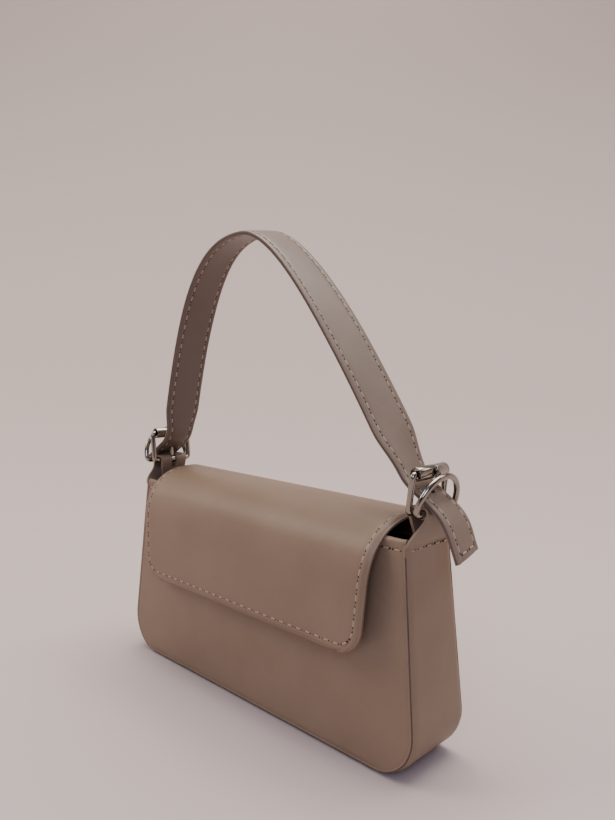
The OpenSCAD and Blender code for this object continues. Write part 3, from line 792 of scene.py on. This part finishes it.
def make_thread():
    sew("strap_thread_outer", strap_runs(STRAP_T / 2, 1, 3, STRAP.length - 3), "handle")
    sew("strap_thread_inner", strap_runs(-STRAP_T / 2, -1, 3, STRAP.length - 3), "handle")
    h = STRAP.heading(STRAP.length - 3)
    end_run = [(strap_point(u, STRAP.length - STRAP_STITCH, STRAP_T / 2), Vector((-h.y, 0, h.x)))
               for u in spread(-0.7, 0.7, 12)]
    sew("strap_thread_tail", [end_run], "handle")
    # Round the flap
    run, low = [], FLAP.length - FLAP_STITCH
    corner = FLAP_R - FLAP_STITCH
    first = STRIP_L + 26
    for s in spread(first, FLAP.length - FLAP_R, 60):
        run.append((s, flap_half(FLAP.length - s) - FLAP_STITCH))
    for a in range(6, 91, 6):
        r = math.radians(a)
        run.append((FLAP.length - FLAP_R + corner * math.sin(r),
                    FLAP_END_W - FLAP_R + corner * math.cos(r)))
    spots = [(s, -x) for s, x in run] + [(low, x) for x in spread(-FLAP_END_W + FLAP_R + 1,
                                                                 FLAP_END_W - FLAP_R - 1, 60)] \
        + list(reversed(run))
    flap_run = []
    for s, x in spots:
        h = FLAP.heading(s)
        up = Vector((0, h.y, -h.x))
        flap_run.append((flap_point(x / flap_half(FLAP.length - s), s), up))
    sew("flap_thread", [flap_run], "flap")
    # Thread along the hems and round the mouth of each gusset; up the corner seams, a dark cord of
    # painted shade in the groove
    hems = []
    for side in (-1, 1):
        hem = [wall_point(side, u, HEM_STITCH_Z, 0.0) for u in spread(-0.985, 0.985, 60)]
        hems.append([(p, Vector((0, side, 0))) for p in hem])
    for side in (-1, 1):
        x, half = half_width(HEM_STITCH_Z, LEATHER), half_depth(HEM_STITCH_Z)
        mouth = [Vector((side * (x - gusset_dip(x, y, HEM_STITCH_Z, half)), y,
                         HEM_STITCH_Z + SEAM_Z)) for y in spread(-17.4, 17.4, 14)]
        hems.append([(p, Vector((side, 0, 0))) for p in mouth])
    sew("hem_thread", hems, "bag")
    # Painted shade: a thin dark cord along each seam between the walls and the gusset stands for
    # the shadow in its groove.
    for name, side in (("front_seam_painted_shade", -1), ("back_seam_painted_shade", 1)):
        rise = [(x, z) for x, z, half in GUSSET if half is not None and z < GUSSET_TOP - 0.5]
        line = []
        for x, z in [(-x, z) for x, z in reversed(rise[1:])] + rise:
            middle = Vector((math.copysign(min(abs(x), CORNER_X), x), max(z, CORNER_R)))
            p = Vector((x, z)) + (middle - Vector((x, z))).normalized() * (LEATHER + 0.05)
            line.append(Vector((p.x, side * (half_depth(max(z, 0)) - 0.35), p.y + SEAM_Z)))
        piece(name, tube(line, Vector((0, 1, 0)), SEAM_SHADE_CORD_R, False, 8), edge_paint_and_seam_shade, "bag")
    anchor = [(flap_point(u, 3.0), Vector((0, 1, 0))) for u in spread(-0.95, 0.95, 50)]
    sew("flap_anchor_thread", [anchor], "bag")


# Hardware

def tube(points, plane, radius, closed, around=16):
    """Round wire along points that lie in one plane."""
    count = len(points)

    def place(column, row):
        i = row % count if closed else row
        before = points[(i - 1) % count] if closed else points[max(i - 1, 0)]
        after = points[(i + 1) % count] if closed else points[min(i + 1, count - 1)]
        ahead = (after - before).normalized()
        side = ahead.cross(plane)
        a = 2 * math.pi * column / around
        return points[i] + radius * (math.cos(a) * plane + math.sin(a) * side)
    return welded(patch(around, count if closed else count - 1, place))


def lathe(profile, middle, around=36):
    """A closed (radius, y) profile turned about an axis along Y."""
    count = len(profile)

    def place(column, row):
        r, y = profile[row % count]
        a = 2 * math.pi * column / around
        return Vector((middle.x + r * math.cos(a), y, middle.y + r * math.sin(a)))
    return welded(patch(around, count, place))


def mirrored(bm):
    bmesh.ops.scale(bm, vec=(-1, 1, 1), verts=bm.verts)
    bmesh.ops.reverse_faces(bm, faces=bm.faces)
    return bm


def standing(base, lean, flat):
    """A flat loop of (y, s), s up from the bar, as places of a loop that leans on it."""
    return [Vector((base.x + s * math.sin(lean), y, base.y + s * math.cos(lean))) for y, s in flat]


def frame_loop():
    y, b, top = FRAME_HALF - FRAME_BEND, FRAME_BEND, FRAME_L - FRAME_BEND
    flat = []
    for middle, a in (((y, b), -90), ((y, top), 0), ((-y, top), 90), ((-y, b), 180)):
        flat += [tuple(p) for p in round_to(Vector(middle), b, a, a + 90, 8)]
    return flat


def ring_loop():
    y, b = RING_HALF - RING_BEND, RING_BEND
    flat = [tuple(p) for p in round_to(Vector((y, b)), b, -90, 0, 8)]
    flat += [tuple(p) for p in round_to(Vector((0, b)), RING_HALF, 0, 180, 40)[1:-1]]
    return flat + [tuple(p) for p in round_to(Vector((-y, b)), b, 180, 270, 8)]


def smooth_curve(knots, n):
    """A smooth curve through knots; the first and last only steer it."""
    out = []
    for a, b, c, d in zip(knots, knots[1:], knots[2:], knots[3:]):
        for t in spread(0, 1, n + 1)[:-1]:
            out.append(0.5 * (2 * b + (c - a) * t + (2 * a - 5 * b + 4 * c - d) * t * t
                              + (3 * b - a - 3 * c + d) * t ** 3))
    return out + [knots[-2]]


def over_roller(room, degrees):
    return ROLLER + (ROLLER_R + room + PRONG_HALF_T) * toward(math.radians(degrees))


def prong_mesh():
    tip = over_roller(0.4, 44)
    path = smooth_curve([HEEL - Vector((0, 6)), HEEL, HOLE_1, over_roller(1.1, -45),
                         over_roller(0.35, 6), tip, tip + Vector((-1, 2))], 8)[2:]
    last = len(path) - 1

    def place(column, row):
        a = 2 * math.pi * column / 16
        c, s = math.cos(a), math.sin(a)
        squared = [math.copysign(abs(v) ** 0.55, v) for v in (c, s)]
        before, after = path[max(row - 1, 0)], path[min(row + 1, last)]
        h = (after - before).normalized()
        to_tip = 1 - row / last
        width = PRONG_HALF_W * (0.72 + 0.28 * min(1.0, to_tip * 3)) * (1 if row < last else 0.75)
        depth = PRONG_HALF_T * (1 if row < last - 1 else 0.9 if row < last else 0.6)
        out = Vector((-h.y, h.x)) * squared[0] * depth
        return Vector((path[row].x + out.x, squared[1] * width, path[row].y + out.y))
    tongue = patch(16, last, place)
    welded(tongue)
    bmesh.ops.holes_fill(tongue, edges=tongue.edges)
    bmesh.ops.recalc_face_normals(tongue, faces=tongue.faces)
    root = lathe([(BORE_R, -PRONG_HALF_W), (2.6, -PRONG_HALF_W), (2.88, -1.0), (2.88, 1.0),
                  (2.6, PRONG_HALF_W), (BORE_R, PRONG_HALF_W)], HEEL, 28)
    mesh = bpy.data.meshes.new("root")
    root.to_mesh(mesh)
    root.free()
    tongue.from_mesh(mesh)
    bpy.data.meshes.remove(mesh)
    return tongue


ROLLER_END = [(2.95, ROLLER_HALF - 1.6), (2.95, ROLLER_HALF - 0.15), (3.1, ROLLER_HALF),
              (3.32, ROLLER_HALF), (ROLLER_R, ROLLER_HALF - 0.25)]
ROLLER_PROFILE = [(r, -y) for r, y in ROLLER_END] + ROLLER_END[::-1] \
    + [(BORE_R, ROLLER_HALF - 1.6), (BORE_R, -ROLLER_HALF + 1.6)]


def make_hardware():
    for side, turn in (("left", mirrored), ("right", lambda bm: bm)):
        plane = Vector((math.cos(FRAME_LEAN), 0, -math.sin(FRAME_LEAN)))
        loop = standing(HEEL, FRAME_LEAN, frame_loop())
        piece(side + "_frame", turn(tube(loop, plane, WIRE_R, True)), nickel, "handle",
              [side + "_buckle_frame"])
        plane = Vector((math.cos(RING_LEAN), 0, -math.sin(RING_LEAN)))
        loop = standing(RING_BAR, RING_LEAN, ring_loop())
        piece(side + "_ring", turn(tube(loop, plane, WIRE_R, True)), nickel,
              side + "_ring", [side + "_keeper_ring"])
        piece(side + "_roller_tube", turn(lathe(ROLLER_PROFILE, ROLLER, 40)), nickel,
              side + "_roller", [side + "_roller"])
        piece(side + "_prong_tongue", turn(prong_mesh()), nickel,
              side + "_prong", [side + "_prong"])


def finish_cad_nodes():
    """Gives the solids that stay shown their finishes."""
    finishes = {"front_board": fibre_board, "back_board": fibre_board, "gusset_board": fibre_board,
                "flap_board": fibre_board, "snap_socket": nickel, "snap_socket_washer": nickel,
                "snap_stud": nickel, "snap_stud_washer": nickel}
    for name, material in finishes.items():
        mesh = nodes[name].data
        mesh.materials.clear()
        mesh.materials.append(material)


# Floor, lights and camera

def make_stage():
    """A pale paper dish under and behind the bag; its side towards the camera is painted dark,
    painted shade standing in for a dim room.
    """
    profile = [(r, 0.0) for r in (0, 300, 500)]
    profile += [(500 + 2400 * t, 2600 * t ** 2.4) for t in spread(0, 1, 25)[1:]]

    def place(column, row):
        r, z = profile[row]
        a = 2 * math.pi * column / 96
        return Vector((r * math.cos(a), r * math.sin(a), z))
    paper, shader = start("seamless_paper_pale_grey", PAPER_PALE, 0.9)
    link = paper.node_tree.links.new
    spot = add(paper, "TexCoord").outputs["Object"]
    tooth = add(paper, "TexNoise", values={"Scale": per(3), "Detail": 4.0}, links={"Vector": spot})
    relief = add(paper, "Bump", values={"Strength": 0.05, "Distance": 0.0003},
                 links={"Height": tooth.outputs["Fac"]})
    link(relief.outputs["Normal"], shader.inputs["Normal"])
    # Painted shade: the paper's colour darkens smoothly towards the camera's side, as if that side
    # of the room were unlit.
    ahead = add(paper, "VectorMath", {"operation": "DOT_PRODUCT"}, {1: (0.7, -0.7, 0.0)}, {0: spot})
    away = add(paper, "MapRange", {"interpolation_type": "SMOOTHSTEP"},
               {"From Min": 0.45, "From Max": 1.5}, {"Value": ahead.outputs["Value"]})
    tone = add(paper, "ValToRGB", links={"Fac": away.outputs["Result"]})
    tone.color_ramp.elements[0].color = hex_colour(PAPER_PALE)
    tone.color_ramp.elements[1].color = hex_colour(ROOM_SHADE_PAINTED)
    link(tone.outputs["Color"], shader.inputs["Base Color"])
    bm = welded(patch(96, len(profile) - 1, place))
    facing(bm, (0, 0, 1000), away=False)
    piece("studio_floor", bm, paper)


def light(name, at, aim, size, power, colour):
    data = bpy.data.lights.new(name, "AREA")
    data.shape, data.size, data.size_y = "RECTANGLE", size[0], size[1]
    data.energy, data.color = power, hex_colour(colour)[:3]
    obj = bpy.data.objects.new(name, data)
    obj.location = at
    obj.rotation_euler = (Vector(aim) - Vector(at)).to_track_quat("-Z", "Y").to_euler()
    bpy.context.scene.collection.objects.link(obj)


def make_lights():
    light("overhead_softbox", (-0.1, 0.3, 1.9), (0, 0, 0.1), (1.7, 1.3), 48, "fff8f0")
    light("lamp_left", (-1.1, -0.9, 1.3), (0, 0, 0.1), (0.7, 0.7), 11, "fff0e0")
    light("room_fill", (0.9, -1.2, 1.0), (0, 0, 0.05), (0.9, 0.6), 11, "c0d2ff")
    light("backdrop_wash", (-0.7, 0.75, 2.7), (-1.8, 1.9, 2.7), (1.6, 0.4), 40, "fff2ea")
    light("window_behind", (0.95, 1.2, 1.65), (0.05, 0, 0.2), (0.8, 0.45), 4.5, "fff0e2")
    world = bpy.data.worlds.new("studio_air")
    bpy.context.scene.world = world
    world.use_nodes = True
    world.node_tree.nodes["Background"].inputs["Color"].default_value = hex_colour("d9d6d8")
    world.node_tree.nodes["Background"].inputs["Strength"].default_value = 0.55


def make_camera():
    azimuth, pitch, roll = (math.radians(a) for a in CAMERA_TURN)
    ahead = Vector((-math.sin(azimuth) * math.cos(pitch), math.cos(azimuth) * math.cos(pitch),
                    -math.sin(pitch)))
    right = Vector((math.cos(azimuth), math.sin(azimuth), 0))
    up = right.cross(ahead)
    across = math.cos(roll) * right + math.sin(roll) * up
    upward = -math.sin(roll) * right + math.cos(roll) * up
    data = bpy.data.cameras.new("photo_camera")
    data.sensor_width, data.lens = 36, FOCAL_PIXELS / PHOTO_PIXELS * 36
    data.clip_start, data.clip_end = 0.01, 20
    obj = bpy.data.objects.new("photo_camera", data)
    obj.matrix_world = Matrix.Translation(CAMERA_AT) \
        @ Matrix((across, upward, -ahead)).transposed().to_4x4()
    bpy.context.scene.collection.objects.link(obj)
    bpy.context.scene.camera = obj


make_wall("front_wall", -1, "front_panel")
make_wall("back_wall", 1, "back_panel")
make_gusset()
make_lining()
make_flap()
make_strap()
make_thread()
make_hardware()
finish_cad_nodes()
make_stage()
make_lights()
make_camera()
